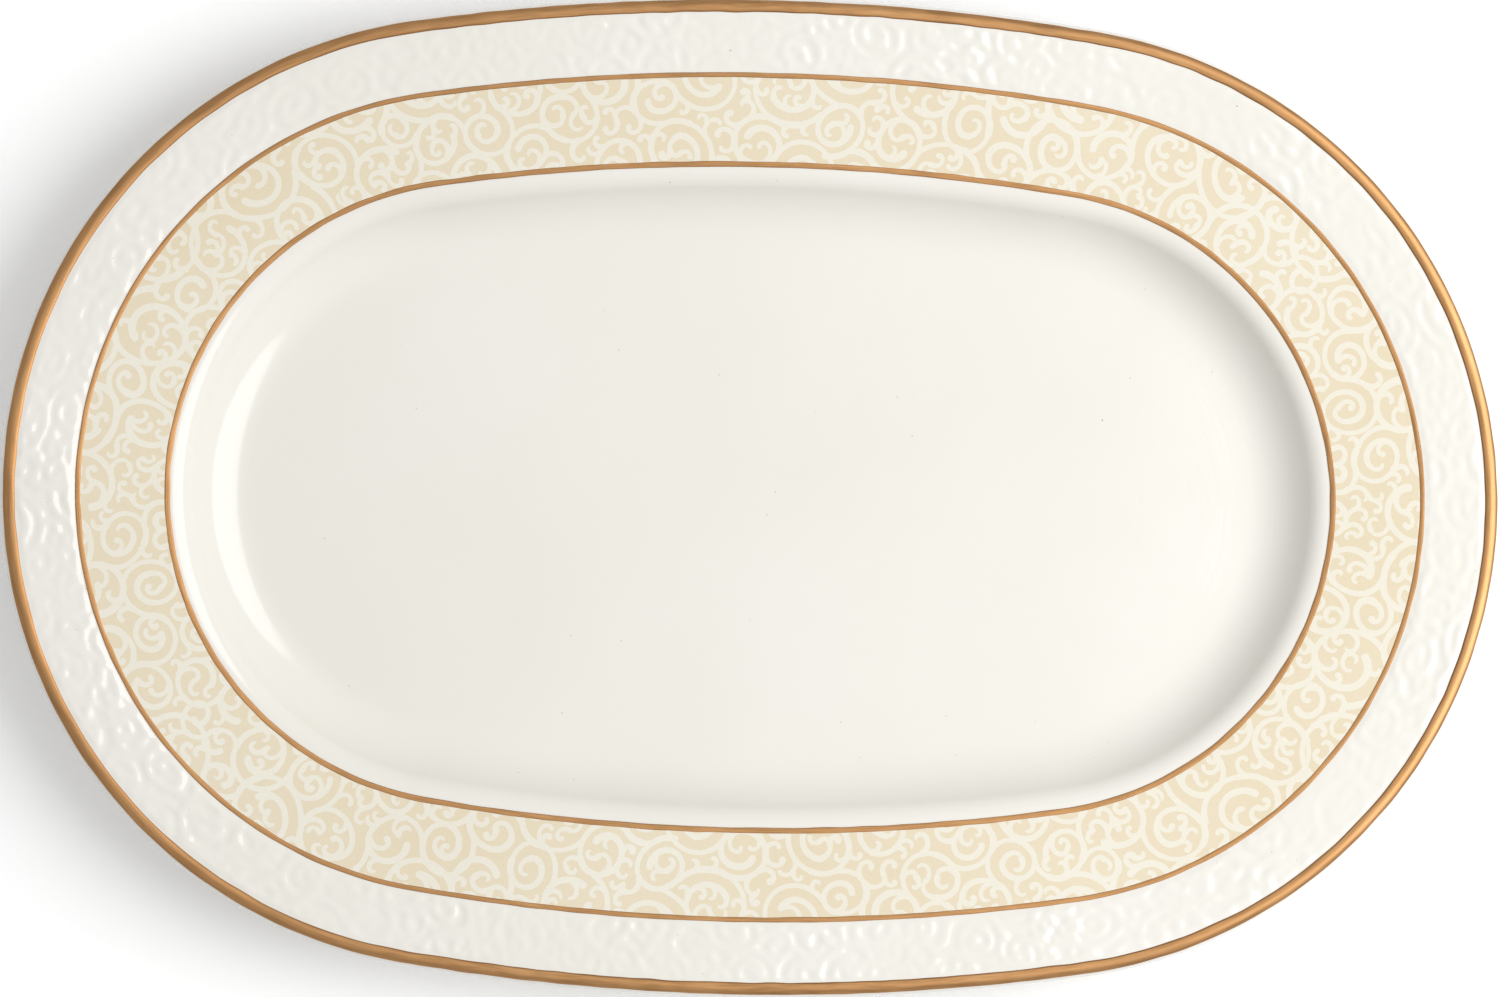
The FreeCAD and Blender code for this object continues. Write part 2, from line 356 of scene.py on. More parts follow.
class Scroll:
    """One spiral stem: where it starts, which way it turns and how fast it closes."""

    smallest_radius = 1.0
    point_spacing = 0.68

    def __init__(self, circle, start, turn, pitch, stretch, tilt):
        self.u, self.v, first_radius = circle
        self.start = start
        self.turn = turn
        self.pitch = pitch
        self.stretch = stretch
        self.tilt = tilt
        self.lead = []
        self.radius = 1.0
        self.radius = first_radius / self.radius_at(0)

    def radius_at(self, angle):
        """The spiral's radius once it has turned through an angle."""
        direction = self.start + self.turn * angle
        oval = 1 + self.stretch * math.cos(2 * (direction - self.tilt))
        return self.radius * oval * (1 - self.pitch * angle / (2 * math.pi))

    def point(self, angle, swell=0.0):
        """A point of the spiral, or a swell outside it."""
        radius = self.radius_at(angle) + swell
        direction = self.start + self.turn * angle
        return (self.u + radius * math.cos(direction), self.v + radius * math.sin(direction))

    def stem(self, sweep):
        """The whole stem: its lead off the parent's stem, then the spiral."""
        points = list(self.lead)
        angle = 0.0
        while angle < sweep and self.radius_at(angle) > self.smallest_radius:
            points.append(self.point(angle))
            angle += self.point_spacing / self.radius_at(angle)
        return points


def pitch_for(radius):
    """Small scrolls close faster than large ones, so that the gaps stay alike."""
    if radius > 6:
        return 0.42
    if radius > 4.5:
        return 0.50
    return 0.60


def branch(draw, parent, contact, circles):
    """A scroll in a free circle, whose stem leaves its parent's stem where the two are closest."""
    apart, other, facing, angle = contact
    u, v, room = circles[other]
    radius = min(apart - parent.radius_at(angle), room * 1.35)
    child = Scroll((u, v, radius), facing + math.pi, -parent.turn, pitch_for(room),
                   draw.uniform(0.03, 0.10), draw.uniform(0, math.pi))
    shift_u = u - apart * math.cos(facing) - parent.u
    shift_v = v - apart * math.sin(facing) - parent.v
    lead_points = 6
    lead_angle = 0.13
    lead_swell = 0.10
    for back in range(lead_points, 0, -1):
        swell = lead_swell * (lead_points - back) / lead_points
        x, y = parent.point(angle - lead_angle * back, swell)
        child.lead.append((x + shift_u, y + shift_v))
    return child


def grow_scrolls(draw, circles, period, reach):
    """A spiral in each circle. Each one branches off a neighbour that turns the other way."""
    scrolls = {}
    order = []
    for root in range(len(circles)):
        if root in scrolls:
            continue
        scrolls[root] = Scroll(circles[root], draw.uniform(0, 2 * math.pi),
                               draw.choice((-1, 1)), pitch_for(circles[root][2]),
                               draw.uniform(0.03, 0.10), draw.uniform(0, math.pi))
        queue = [root]
        while queue:
            index = queue.pop(0)
            order.append(index)
            parent = scrolls[index]
            for contact in contacts(parent, circles, scrolls, period, reach):
                other = contact[1]
                scrolls[other] = branch(draw, parent, contact, circles)
                queue.append(other)
    return [scrolls[index] for index in order]


def contacts(parent, circles, taken, period, reach):
    """The free circles that a scroll's outer turn passes close to, at most three.

    Each has its distance, its number, its direction and the angle that the scroll has turned there.
    """
    branches_from = math.radians(35)
    branches_to = math.radians(290)
    near = []
    for other, (u, v, radius) in enumerate(circles):
        if other in taken:
            continue
        du = shortest(u - parent.u, period)
        dv = v - parent.v
        apart = math.hypot(du, dv)
        if apart - parent.radius - radius > reach:
            continue
        facing = math.atan2(dv, du)
        angle = (parent.turn * (facing - parent.start)) % (2 * math.pi)
        if branches_from < angle < branches_to:
            near.append((apart, other, facing, angle))
    return sorted(near)[:3]


def stroke_widths(stroke):
    """Width at each point of a stroke, from its width at the start, the middle and the tip."""
    points, at_start, at_middle, at_end = stroke
    waist = 0.4
    last = len(points) - 1
    widths = []
    for index in range(last + 1):
        part = index / last
        if part < waist:
            widths.append(at_middle + (at_start - at_middle) * (1 - part / waist) ** 2)
        else:
            widths.append(at_middle + (at_end - at_middle) * ((part - waist) / (1 - waist)) ** 2)
    return widths


def headings(points):
    """The direction of travel at each point of a stroke."""
    result = []
    for index in range(len(points)):
        before = points[max(index - 1, 0)]
        after = points[min(index + 1, len(points) - 1)]
        result.append(math.atan2(after[1] - before[1], after[0] - before[0]))
    return result


class FreeSpace:
    """How far each spot of the strip is from the nearest stroke, and which point of it that is."""

    untouched = 99.0
    reach_in_steps = 9

    def __init__(self, period, low, high, step=0.6, margin=3.0):
        self.period = period
        self.low = low - margin
        self.step = step
        self.across = int(period / step)
        self.up = int((high - low + 2 * margin) / step)
        u = (np.arange(self.across) + 0.5) * period / self.across
        v = self.low + (np.arange(self.up) + 0.5) * step
        grid_u, grid_v = np.meshgrid(u, v)
        self.u = grid_u.ravel()
        self.v = grid_v.ravel()
        self.free = np.full(self.u.size, self.untouched)
        self.nearest = np.zeros(self.u.size, int)
        self.samples = []

    def add(self, stroke):
        """Take up the room of one more stroke."""
        points = stroke[0]
        for (u, v), heading, width in zip(points, headings(points), stroke_widths(stroke)):
            self.samples.append((u % self.period, v, heading, width / 2))
            self.spread(len(self.samples) - 1)

    def spread(self, sample):
        """Note a stroke's point at every spot near it that has no closer one."""
        u, v, _, half_width = self.samples[sample]
        window = np.arange(-self.reach_in_steps, self.reach_in_steps + 1)
        columns = (int(u / self.period * self.across) + window) % self.across
        rows = int((v - self.low) / self.step) + window
        rows = rows[(rows >= 0) & (rows < self.up)]
        spots = (rows[:, None] * self.across + columns[None, :]).ravel()
        du = shortest(self.u[spots] - u, self.period)
        away = np.hypot(du, self.v[spots] - v) - half_width
        closer = away < self.free[spots]
        self.free[spots[closer]] = away[closer]
        self.nearest[spots[closer]] = sample


def tendril_points(draw, sample, spot, size, period):
    """A tendril that leaves its stem and coils in round the middle of a gap."""
    share_backward = 0.25
    radius_after_quarter_turn = 0.62 * size
    points_per_mm = 4.5
    u, v, heading, half_width = sample
    du = shortest(spot[0] - u, period)
    dv = spot[1] - v
    apart = half_width + size
    out = math.atan2(dv, du)
    centre_u = u + apart * math.cos(out)
    centre_v = v + apart * math.sin(out)
    start = out + math.pi
    onward = 1 if math.sin(heading - start) > 0 else -1
    if draw.random() < share_backward:
        onward = -onward
    tightening = math.log(apart / radius_after_quarter_turn) / (math.pi / 2)
    turn = math.radians(draw.uniform(150, 250))
    steps = max(7, int(size * points_per_mm))
    points = []
    for step in range(steps + 1):
        angle = turn * step / steps
        radius = apart * math.exp(-tightening * angle)
        points.append((centre_u + radius * math.cos(start + onward * angle),
                       centre_v + radius * math.sin(start + onward * angle)))
    return points


def scrollwork(seed, period, low, high, sizes, gap, reach, width, smallest_gap):
    """Strokes of an all-over scroll pattern: spirals first, then tendrils wherever a gap is left.

    A stroke is its points and its width at the start, the middle and the tip.
    """
    out_of_reach = 20
    largest_gap = 3.0
    draw = random.Random(seed)
    circles = pack_circles(draw, period, low, high, sizes, gap)
    circles = settle_circles(circles, period, low, high, gap)
    space = FreeSpace(period, low, high)
    strokes = []
    for scroll in grow_scrolls(draw, circles, period, reach):
        full = width * draw.uniform(0.88, 1.1)
        stem = scroll.stem(math.radians(draw.uniform(300, 520)))
        stroke = (stem, full * 1.3, full * 0.95, full * 1.35)
        strokes.append(stroke)
        space.add(stroke)
    space.free[space.free > out_of_reach] = 0
    while True:
        best = int(space.free.argmax())
        size = space.free[best]
        if size < smallest_gap:
            return strokes
        sample = space.samples[space.nearest[best]]
        spot = (space.u[best], space.v[best])
        points = tendril_points(draw, sample, spot, min(size, largest_gap), period)
        full = width * draw.uniform(0.78, 0.98)
        stroke = (points, full * 1.35, full, full * draw.choice((0.45, 0.6, 1.1, 1.4)))
        strokes.append(stroke)
        space.add(stroke)
        if space.free[best] > size * 0.7:
            space.free[best] = 0


# ---------------------------------------------------------------- printed border

class Outlines:
    """Polygons of the strokes, cut to the printed band, ready to be joined."""

    smallest_area = 1e-4
    cap_steps = 6

    def __init__(self, low, high, length):
        self.low = low
        self.high = high
        self.length = length
        self.points = [(0, low), (length, low), (length, high), (0, high)]
        self.faces = []

    def vertex(self, u, v):
        """The number of a new point, moved to the band's edge if it lies outside."""
        u = min(max(u, 0.0), self.length)
        v = min(max(v, self.low), self.high)
        self.points.append((u, v))
        return len(self.points) - 1

    def face(self, indices):
        """Keep a polygon, unless the cut has flattened it. The area is doubled here."""
        area = 0.0
        for here, there in zip(indices, indices[1:] + indices[:1]):
            x0, y0 = self.points[here]
            x1, y1 = self.points[there]
            area += x0 * y1 - x1 * y0
        if abs(area) > self.smallest_area:
            self.faces.append(indices if area > 0 else indices[::-1])

    def misses(self, points):
        """Whether a stroke lies wholly outside the band, with room for half its width."""
        along = [u for u, _ in points]
        across = [v for _, v in points]
        return (max(along) < -2 or min(along) > self.length + 2
                or max(across) < self.low - 1 or min(across) > self.high + 1)

    def add(self, stroke, shift):
        """The polygons of one stroke, moved along the band."""
        points = [(u + shift, v) for u, v in stroke[0]]
        if self.misses(points):
            return
        widths = stroke_widths(stroke)
        ways = headings(points)
        sides = []
        for (u, v), way, width in zip(points, ways, widths):
            du = -math.sin(way) * (width / 2)
            dv = math.cos(way) * (width / 2)
            sides.append((self.vertex(u + du, v + dv), self.vertex(u - du, v - dv)))
        for (left, right), (next_left, next_right) in zip(sides, sides[1:]):
            self.face([right, next_right, next_left, left])
        self.cap(points[-1], ways[-1], widths[-1], sides[-1][1], sides[-1][0])
        self.cap(points[0], ways[0] + math.pi, widths[0], sides[0][0], sides[0][1])

    def cap(self, middle, heading, width, first, last):
        """The round end of a stroke."""
        indices = [first]
        for step in range(1, self.cap_steps):
            angle = heading - math.pi / 2 + math.pi * step / self.cap_steps
            indices.append(self.vertex(middle[0] + math.cos(angle) * width / 2,
                                       middle[1] + math.sin(angle) * width / 2))
        self.face(indices + [last])


def covered(spots, outlines):
    """Which spots lie inside any of the strokes' polygons."""
    order = np.argsort(spots[:, 0])
    spots = spots[order]
    inside = np.zeros(len(spots), bool)
    for indices in outlines.faces:
        corners = np.array([outlines.points[index] for index in indices])
        first, last = np.searchsorted(spots[:, 0], (corners[:, 0].min(), corners[:, 0].max()))
        u = spots[first:last, 0]
        v = spots[first:last, 1]
        crossed = np.zeros(last - first, bool)
        for (u0, v0), (u1, v1) in zip(corners, np.roll(corners, -1, axis=0)):
            if v0 == v1:
                continue
            level = (v0 > v) != (v1 > v)
            crossed ^= level & (u < u0 + (v - v0) / (v1 - v0) * (u1 - u0))
        inside[first:last] |= crossed
    result = np.empty(len(spots), bool)
    result[order] = inside
    return result


def band_triangles(strokes):
    """Triangles of half the printed band, split into ground and scrollwork."""
    closeness = 1e-4
    outlines = Outlines(PRINT_LOW, PRINT_HIGH, HALF_ROUND)
    for stroke in strokes:
        for shift in (-HALF_ROUND, 0.0, HALF_ROUND):
            outlines.add(stroke, shift)
    edges = [(0, 1), (1, 2), (2, 3), (3, 0)]
    for indices in outlines.faces:
        edges += zip(indices, indices[1:] + indices[:1])
    points, _, faces, _, _, _ = delaunay_2d_cdt(outlines.points, edges, [], 0, closeness, False)
    points = [(point[0], point[1]) for point in points]
    middles = np.array([[sum(points[index][axis] for index in face) / 3 for axis in (0, 1)]
                        for face in faces])
    scrolls = []
    ground = []
    for face, inside in zip(faces, covered(middles, outlines)):
        (scrolls if inside else ground).append(list(face))
    return points, ground, scrolls


def layer(points, triangles):
    """Both halves of one printed layer as closed solids: its vertices, faces and coordinates."""
    used = sorted({index for face in triangles for index in face})
    place_of = {index: new for new, index in enumerate(used)}
    flat = np.array([points[index] for index in used])
    top = [[place_of[index] for index in face] for face in triangles]
    size = len(used)
    edges = set()
    for face in top:
        for start, end in zip(face, face[1:] + face[:1]):
            edges.add((start, end))
    walls = [[end, start, start + size, end + size]
             for start, end in sorted(edges) if (end, start) not in edges]
    faces = top + [[index + size for index in face[::-1]] for face in top] + walls
    vertices = []
    coordinates = []
    just_short = 1 - 1e-9
    for half in (0, 1):
        for rise in (PRINT_THICKNESS, -LAYER_ROOT):
            inset = PRINT_START + flat[:, 1]
            u = flat[:, 0] * just_short + half * HALF_ROUND
            raised_inset, z = on_rim(inset, rise)
            x, y = place(u, raised_inset)
            vertices.append(np.stack((x, y, z), axis=1))
            coordinates.append(np.stack((u, inset), axis=1))
    both = faces + [[index + 2 * size for index in face] for face in faces]
    both = [face[::-1] for face in both]
    return np.concatenate(vertices), both, np.concatenate(coordinates)


def printed_border(ground_material, scroll_material):
    """The ivory transfer: its ground and the lighter scrollwork, inlaid in each other."""
    strokes = scrollwork(seed=11, period=HALF_ROUND, low=-4.0, high=25.0,
                         sizes=((6.8, 5000), (5.2, 3000), (3.8, 2500)),
                         gap=0.3, reach=3.0, width=1.25, smallest_gap=1.4)
    points, ground, scrolls = band_triangles(strokes)
    for name, triangles, material in (("ivory_ground", ground, ground_material),
                                      ("ivory_scrollwork", scrolls, scroll_material)):
        vertices, faces, coordinates = layer(points, triangles)
        make_piece(name, vertices, faces, material, coordinates,
                   ["ivory_border_print"])


# ---------------------------------------------------------------- embossed rim

def stamp(heights, spacing, middle, reach, bump):
    """Raise the columns within reach of the middle to a bump, given by its distance from there."""
    window = int(reach / spacing) + 1
    nearest = int(round(middle / spacing))
    spots = np.arange(nearest - window, nearest + window + 1)
    raised = bump((spots * spacing - middle)[None, :])
    spots = spots % heights.shape[1]
    heights[:, spots] = np.maximum(heights[:, spots], raised)


def leaf_lumps(draw, columns, insets):
    """Small rounded leaves in loose clusters, mostly lying across the rim."""
    clusters = 46
    reach = 4.0
    heights = np.zeros((len(insets), len(columns)))
    spacing = columns[1] - columns[0]
    for _ in range(clusters):
        cluster = draw.uniform(0, FULL_ROUND)
        for _ in range(draw.randint(5, 11)):
            u = cluster + draw.gauss(0, 4.5)
            v = draw.uniform(4.5, 16.5)
            lean = draw.gauss(0, 0.55)
            long = draw.uniform(1.1, 2.2)
            broad = draw.uniform(0.55, 0.95)
            high = draw.uniform(0.6, 1.15)
            dv = (insets - v)[:, None]

            def lump(du):
                """A leaf's height over the spots, from their distance along the rim."""
                across = (du * math.cos(lean) + dv * math.sin(lean)) / broad
                along = (dv * math.cos(lean) - du * math.sin(lean)) / long
                return high * np.clip(1 - across ** 2 - along ** 2, 0, 1) ** 0.7

            stamp(heights, spacing, u, reach, lump)
    return heights


def relief_heights(columns, insets):
    """Height of the moulded scrolls and leaves above the plain rim, for every row and column."""
    strokes = scrollwork(seed=5, period=FULL_ROUND, low=0.0, high=21.0,
                         sizes=((5.4, 5000), (4.0, 4000), (2.8, 3000)),
                         gap=0.2, reach=2.4, width=1.7, smallest_gap=1.0)
    along_stroke = 0.62
    at_tip = 0.85
    reach = 3.0
    softenings = 2
    draw = random.Random(17)
    heights = leaf_lumps(draw, columns, insets)
    spacing = columns[1] - columns[0]
    for stroke in strokes:
        widths = stroke_widths(stroke)
        high = draw.uniform(0.55, 1.0)
        for index, (u, v) in enumerate(stroke[0]):
            radius = widths[index] * (along_stroke if index < len(widths) - 2 else at_tip)
            dv = (insets - v)[:, None]

            def boss(du):
                """A round swelling at one point of a stroke."""
                return high * np.clip(1 - (np.hypot(du, dv) / radius) ** 2, 0, 1)

            stamp(heights, spacing, u, reach, boss)
    for _ in range(softenings):
        heights = (np.roll(heights, 1, 1) + 2 * heights + np.roll(heights, -1, 1)) / 4
        heights[1:-1] = (heights[:-2] + 2 * heights[1:-1] + heights[2:]) / 4
    return heights


def embossed_rim(material):
    """The moulded relief between the gold lip and the outer gold line, as a closed layer."""
    count = 1560
    columns = oval_columns(count)
    first = 2.75
    last = 17.85
    rises_from = GOLD_LIP_END
    rises_to = 17.4
    rises_within = 1.3
    insets = np.linspace(first, last, 33)
    heights = relief_heights(columns, insets)
    waves = 0.75 + 0.25 * wander(31, 24)(columns)
    edge = np.clip(np.minimum(insets - rises_from, rises_to - insets) / rises_within, 0, 1)
    edge = edge * edge * (3 - 2 * edge)
    rows = []
    for index, inset in enumerate(insets):
        moulded = RELIEF_BASE + RELIEF_RISE * heights[index] * waves
        rows.append(on_rim(inset, RELIEF_BASE + edge[index] * moulded))
    for inset in (last, first):
        rows.append(on_rim(inset, -RELIEF_ROOT))
    points = swept_points(columns, rows)
    faces = [face[::-1] for face in swept_faces(count, len(rows), True)]
    make_piece("embossed_rim", points, faces, material,
               swept_coordinates(columns, rows), crease=60)


# ---------------------------------------------------------------- gilding

def wander(seed, waves):
    """A smooth wandering line round the platter, between about -1 and 1."""
    gain = 1.6
    draw = random.Random(seed)
    terms = []
    for wave in range(1, waves + 1):
        size = draw.uniform(-1, 1) / math.sqrt(waves)
        phase = draw.uniform(0, 2 * math.pi)
        terms.append((size, 2 * math.pi * wave / FULL_ROUND, phase))

    def line(u):
        """The sum of the waves at an arc length."""
        return sum(size * np.sin(rate * u + phase) for size, rate, phase in terms) * gain

    return line


def gilded_strip(name, node, columns, rows, profile, material):
    """A closed strip of gold. Its map runs from 0 to 1 across the strip."""
    faces = [face[::-1] for face in swept_faces(len(columns), len(rows), True)]
    across = [(MM_PER_DECIMETRE * part, 0.0) for part, _ in profile]
    make_piece(name, swept_points(columns, rows), faces, material,
               swept_coordinates(columns, across), [node], crease=60)


def gold_line(name, node, limits, seed, material):
    """A painted line on the rim, whose edges waver a little as a brush does.

    The profile holds how far across the line each point is, and its rise above the rim.
    """
    waver = 0.05
    columns = oval_columns(900)
    start = limits[0] + waver * wander(seed, 90)(columns)
    end = limits[1] + waver * wander(seed + 1, 90)(columns)
    profile = ((0.0, 0.125), (0.10, 0.15), (0.30, 0.165), (0.70, 0.165), (0.90, 0.15),
               (1.0, 0.125), (1.0, -LAYER_ROOT), (0.0, -LAYER_ROOT))
    rows = [on_rim(start + (end - start) * part, rise) for part, rise in profile]
    gilded_strip(name, node, columns, rows, profile, material)


def lip_point(travel, rise):
    """A point on the lip's surface, by its distance inwards from the top of the lip's arc."""
    angle = np.minimum(travel / LIP_RADIUS, RIM_SLOPE)
    beyond = np.maximum(travel - RIM_SLOPE * LIP_RADIUS, 0)
    inset = LIP[0] + (LIP_RADIUS + rise) * np.sin(angle) + beyond * math.cos(RIM_SLOPE)
    height = LIP[1] + (LIP_RADIUS + rise) * np.cos(angle) - beyond * math.sin(RIM_SLOPE)
    return inset, height


def gold_lip(material):
    """The gold on the lip, laid on with a brush, a little uneven at both edges.

    The profile holds how far across the gold each point is, and its rise above the glaze.
    """
    waver = 0.07
    full = 0.22
    columns = oval_columns(960)
    outside = -GOLD_LIP_ANGLE * LIP_RADIUS + waver * wander(71, 120)(columns)
    flat = (GOLD_LIP_END - LIP[0] - LIP_RADIUS * math.sin(RIM_SLOPE)) / math.cos(RIM_SLOPE)
    inside = RIM_SLOPE * LIP_RADIUS + flat + waver * wander(72, 120)(columns)
    profile = [(0.0, 0.05), (0.04, 0.14), (0.12, 0.20)]
    profile += [(part, full) for part in (0.24, 0.36, 0.48, 0.60, 0.72)]
    profile += [(0.84, 0.21), (0.94, 0.17), (1.0, 0.09)]
    profile += [(part, -LAYER_ROOT) for part in (1.0, 0.75, 0.5, 0.25, 0.0)]
    rows = [lip_point(outside + (inside - outside) * part, rise) for part, rise in profile]
    gilded_strip("gold_lip", "gold_rim_band", columns, rows, profile, material)


# ---------------------------------------------------------------- materials

WHITE = (1.0, 1.0, 1.0)


class Material:
    """A node material with short helpers for the nodes it needs."""

    def __init__(self, name, **values):
        self.material = bpy.data.materials.new(name)
        self.material.use_nodes = True
        self.nodes = self.material.node_tree.nodes
        self.links = self.material.node_tree.links
        self.shader = self.nodes["Principled BSDF"]
        for socket, value in values.items():
            self.shader.inputs[socket.replace("_", " ")].default_value = value

    def node(self, kind, **settings):
        """A new node with its properties set."""
        node = self.nodes.new(kind)
        for key, value in settings.items():
            setattr(node, key, value)
        return node

    def coordinates(self, output, scale):
        """Texture coordinates, scaled."""
        source = self.node("ShaderNodeTexCoord")
        mapping = self.node("ShaderNodeMapping")
        mapping.inputs["Scale"].default_value = scale
        self.links.new(source.outputs[output], mapping.inputs["Vector"])
        return mapping.outputs["Vector"]

    def noise(self, vector, scale, detail=3.0, rough=0.5):
        """A noise value between 0 and 1."""
        node = self.node("ShaderNodeTexNoise")
        node.inputs["Scale"].default_value = scale
        node.inputs["Detail"].default_value = detail
        node.inputs["Roughness"].default_value = rough
        self.links.new(vector, node.inputs["Vector"])
        return node.outputs["Fac"]

    def ramp(self, value, stops):
        """A colour that follows a value through stops, each a position and a colour."""
        node = self.node("ShaderNodeValToRGB")
        elements = node.color_ramp.elements
        while len(elements) < len(stops):
            elements.new(0.5)
        for element, (position, colour) in zip(elements, stops):
            element.position = position
            element.color = (*colour, 1.0)
        self.links.new(value, node.inputs["Fac"])
        return node.outputs["Color"]

    def spread(self, value, low, high, from_low=0.3, from_high=0.7):
        """A value stretched to a new range."""
        node = self.node("ShaderNodeMapRange")
        for socket, number in (("From Min", from_low), ("From Max", from_high),
                               ("To Min", low), ("To Max", high)):
            node.inputs[socket].default_value = number
        self.links.new(value, node.inputs["Value"])
        return node.outputs["Result"]

    def mix(self, factor, first, second, blend="MIX"):
        """Two colours blended. Each input is a socket, a colour or a number."""
        node = self.node("ShaderNodeMix", data_type="RGBA", blend_type=blend)
        for socket, value in ((0, factor), (6, first), (7, second)):
            if isinstance(value, bpy.types.NodeSocket):
                self.links.new(value, node.inputs[socket])
            elif isinstance(value, tuple):
                node.inputs[socket].default_value = (*value, 1.0)
            else:
                node.inputs[socket].default_value = value
        return node.outputs[2]

    def bump(self, layers):
        """Surface unevenness from several height values, each with its depth in metres."""
        previous = None
        for height, distance in layers:
            node = self.node("ShaderNodeBump")
            node.inputs["Strength"].default_value = 1.0
            node.inputs["Distance"].default_value = distance
            self.links.new(height, node.inputs["Height"])
            if previous is not None:
                self.links.new(previous, node.inputs["Normal"])
            previous = node.outputs["Normal"]
        self.links.new(previous, self.shader.inputs["Normal"])

    def feed(self, socket, value):
        """Join a value to one of the shader's inputs."""
        self.links.new(value, self.shader.inputs[socket])


def glaze_material():
    """Creamy white glaze: clouded colour, a faint orange peel, turning marks and a few specks."""
    made = Material("creamy_glaze", IOR=1.5, Specular_IOR_Level=0.5)
    solid = made.coordinates("Object", (1, 1, 1))
    round_about = made.coordinates("UV", (1.5, 60, 1))
    cream = ((0.30, (0.748, 0.727, 0.668)), (0.50, (0.762, 0.741, 0.685)), (0.70, (0.774, 0.755, 0.702)))
    colour = made.ramp(made.noise(solid, 14, 4), cream)
    specks = made.spread(made.noise(solid, 1100, 0), 0.0, 0.65, 0.90, 0.92)
    made.feed("Base Color", made.mix(specks, colour, (0.22, 0.17, 0.12)))
    made.feed("Roughness", made.spread(made.noise(solid, 60, 3), 0.09, 0.16))
    made.bump(((made.noise(solid, 130, 2), 0.00003), (made.noise(solid, 700, 1), 0.000004),
               (made.noise(round_about, 1, 2), 0.00002)))
    return made.material


def bisque_material():
    """Unglazed porcelain on the bearing edge: matte, fine grained and a little soiled."""
    made = Material("bisque_porcelain", IOR=1.5)
    solid = made.coordinates("Object", (1, 1, 1))
    clay = ((0.30, (0.64, 0.60, 0.52)), (0.55, (0.73, 0.70, 0.63)), (0.75, (0.77, 0.74, 0.68)))
    made.feed("Base Color", made.ramp(made.noise(solid, 40, 5), clay))
    made.feed("Roughness", made.spread(made.noise(solid, 300, 3), 0.70, 0.90))
    made.bump(((made.noise(solid, 2500, 3), 0.00004),))
    return made.material


def print_material(name, pale, middle, deep):
    """Printed ivory under the glaze: a slightly uneven tint with a fine grain."""
    made = Material(name, IOR=1.5, Specular_IOR_Level=0.5)
    solid = made.coordinates("Object", (1, 1, 1))
    tint = made.ramp(made.noise(solid, 22, 3), ((0.30, pale), (0.52, middle), (0.72, deep)))
    grain = made.ramp(made.noise(solid, 1600, 2), ((0.35, (0.975, 0.975, 0.97)), (0.65, WHITE)))
    made.feed("Base Color", made.mix(1.0, tint, grain, "MULTIPLY"))
    made.feed("Roughness", made.spread(made.noise(solid, 80, 3), 0.13, 0.22))
    made.bump(((made.noise(solid, 130, 2), 0.00003), (made.noise(solid, 900, 1), 0.000004)))
    return made.material


def gold_material():
    """Burnished gold laid on with a brush: streaks along the stroke, and painted shade that darkens its
    edges.
    """
    made = Material("brushed_gold", Metallic=1.0)
    streaks = made.coordinates("UV", (14, 5, 1))
    patches = made.coordinates("UV", (5, 0.6, 1))
    golds = ((0.28, (0.43, 0.236, 0.103)), (0.50, (0.51, 0.275, 0.117)), (0.72, (0.56, 0.315, 0.142)))
    colour = made.ramp(made.noise(patches, 1, 4), golds)
    lines = made.ramp(made.noise(streaks, 1, 3), ((0.35, (0.86, 0.84, 0.81)), (0.60, WHITE)))
    colour = made.mix(1.0, colour, lines, "MULTIPLY")
    # The gold is darkened to brown along both edges of each strip, as painted shade.
    made.feed("Base Color", made.mix(1.0, colour, painted_edge_shade(made), "MULTIPLY"))
    made.feed("Roughness", made.spread(made.noise(streaks, 1, 3), 0.34, 0.50))
    made.bump(((made.noise(streaks, 1, 3), 0.00002),))
    return made.material


def painted_edge_shade(made):
    """Painted shade: brown along both edges of a gilded strip, darkest at the very edge."""
    split = made.node("ShaderNodeSeparateXYZ")
    made.links.new(made.coordinates("UV", (1, 1, 1)), split.inputs[0])
    centred = made.node("ShaderNodeMath", operation="SUBTRACT")
    made.links.new(split.outputs["Y"], centred.inputs[0])
    centred.inputs[1].default_value = 0.5
    distance = made.node("ShaderNodeMath", operation="ABSOLUTE")
    made.links.new(centred.outputs[0], distance.inputs[0])
    return made.ramp(distance.outputs[0], ((0.36, WHITE), (0.47, (0.62, 0.52, 0.44))))


def floor_material():
    """Pale studio floor, slightly uneven. It glows a little, so that it comes out white."""
    made = Material("pale_floor", IOR=1.45, Specular_IOR_Level=0.1, Emission_Strength=0.08)
    solid = made.coordinates("Object", (1, 1, 1))
    pale = ((0.3, (0.96, 0.96, 0.96)), (0.7, (0.98, 0.98, 0.98)))
    made.feed("Base Color", made.ramp(made.noise(solid, 3, 2), pale))
    made.feed("Roughness", made.spread(made.noise(solid, 20, 2), 0.75, 0.85))
    return made.material


# ---------------------------------------------------------------- studio

def studio():
    """A pale floor, an even white surround and a soft key light from the right."""
    half = 8.0
    mesh = bpy.data.meshes.new("floor")
    mesh.from_pydata([(-half, -half, 0), (half, -half, 0), (half, half, 0), (-half, half, 0)], [],
                     [(0, 1, 2, 3)])
    mesh.materials.append(floor_material())
    floor = bpy.data.objects.new("floor", mesh)
    bpy.context.scene.collection.objects.link(floor)

    surround()
    add_light("key_light", position=(0.45, 0.02, 0.60), size=0.72, power=4.35)
    bpy.context.scene.view_settings.view_transform = "Standard"


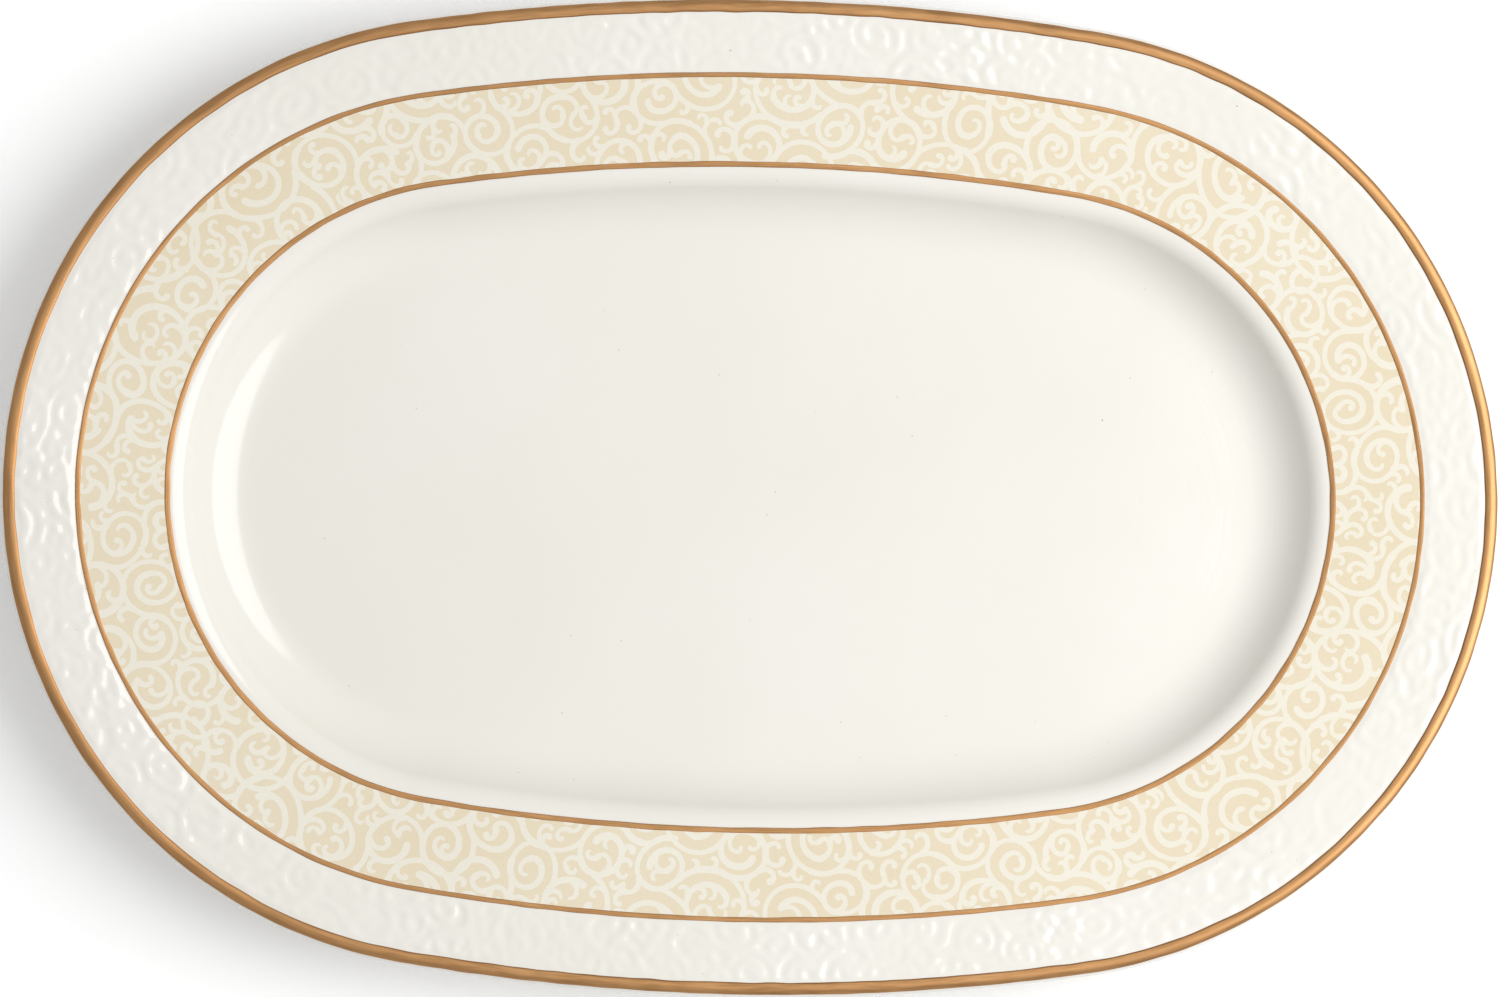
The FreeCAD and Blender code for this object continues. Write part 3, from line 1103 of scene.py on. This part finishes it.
def surround():
    """A white surround, brighter towards the right and overhead, and even where the camera sees it."""
    brighter_towards = (0.14, 0.0, 0.10)
    mean_level = 0.59
    seen_level = 0.97
    world = bpy.data.worlds.new("surround")
    world.use_nodes = True
    nodes = world.node_tree.nodes
    links = world.node_tree.links
    direction = nodes.new("ShaderNodeTexCoord")
    aim = nodes.new("ShaderNodeVectorMath")
    aim.operation = "DOT_PRODUCT"
    aim.inputs[1].default_value = brighter_towards
    level = nodes.new("ShaderNodeMath")
    level.operation = "ADD"
    level.inputs[1].default_value = mean_level
    seen = nodes.new("ShaderNodeMix")
    seen.inputs[3].default_value = seen_level
    path = nodes.new("ShaderNodeLightPath")
    links.new(direction.outputs["Generated"], aim.inputs[0])
    links.new(aim.outputs["Value"], level.inputs[0])
    links.new(path.outputs["Is Camera Ray"], seen.inputs[0])
    links.new(level.outputs[0], seen.inputs[2])
    links.new(seen.outputs[0], nodes["Background"].inputs["Strength"])
    nodes["Background"].inputs["Color"].default_value = (*WHITE, 1.0)
    bpy.context.scene.world = world


def add_light(name, position, size, power):
    """A round soft light that faces the origin and isn't seen itself. Metres and watts."""
    light = bpy.data.lights.new(name, "AREA")
    light.shape = "DISK"
    light.size = size
    light.energy = power
    lamp = bpy.data.objects.new(name, light)
    lamp.location = position
    direction = -lamp.location
    lamp.rotation_euler = direction.to_track_quat("-Z", "Y").to_euler()
    lamp.visible_camera = False
    bpy.context.scene.collection.objects.link(lamp)


def camera():
    """Straight above the platter, far off with a long lens, turned one degree.

    The picture is view_width wide at the framed height above the table.
    """
    turn = math.radians(1.02)
    view_width = 350.47
    framed_height = 19.1
    up = -0.28
    lens = 300.0
    data = bpy.data.cameras.new("camera")
    data.lens = lens
    data.sensor_width = 36.0
    distance = view_width * lens / data.sensor_width
    eye = bpy.data.objects.new("camera", data)
    eye.location = (-up * math.sin(turn) * MM,
                    up * math.cos(turn) * MM,
                    (distance + framed_height) * MM)
    eye.rotation_euler = (0.0, 0.0, turn)
    bpy.context.scene.collection.objects.link(eye)
    bpy.context.scene.camera = eye


# ---------------------------------------------------------------- making

glaze = glaze_material()
gold = gold_material()
bisque = bisque_material()
for material_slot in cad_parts["platter_body"].material_slots:
    material_slot.material = bisque

glaze_skin(glaze)
recess_glaze(glaze)
embossed_rim(glaze)
printed_border(
    print_material("ivory_ground", pale=(0.730, 0.650, 0.492), middle=(0.720, 0.632, 0.468),
                   deep=(0.706, 0.612, 0.440)),
    print_material("ivory_scrolls", pale=(0.773, 0.742, 0.648), middle=(0.767, 0.732, 0.630),
                   deep=(0.758, 0.718, 0.606)))
gold_lip(gold)
gold_line("gold_line_outer_stroke", "gold_line_outer", OUTER_LINE, 41, gold)
gold_line("gold_line_inner_stroke", "gold_line_inner", INNER_LINE, 51, gold)
studio()
camera()
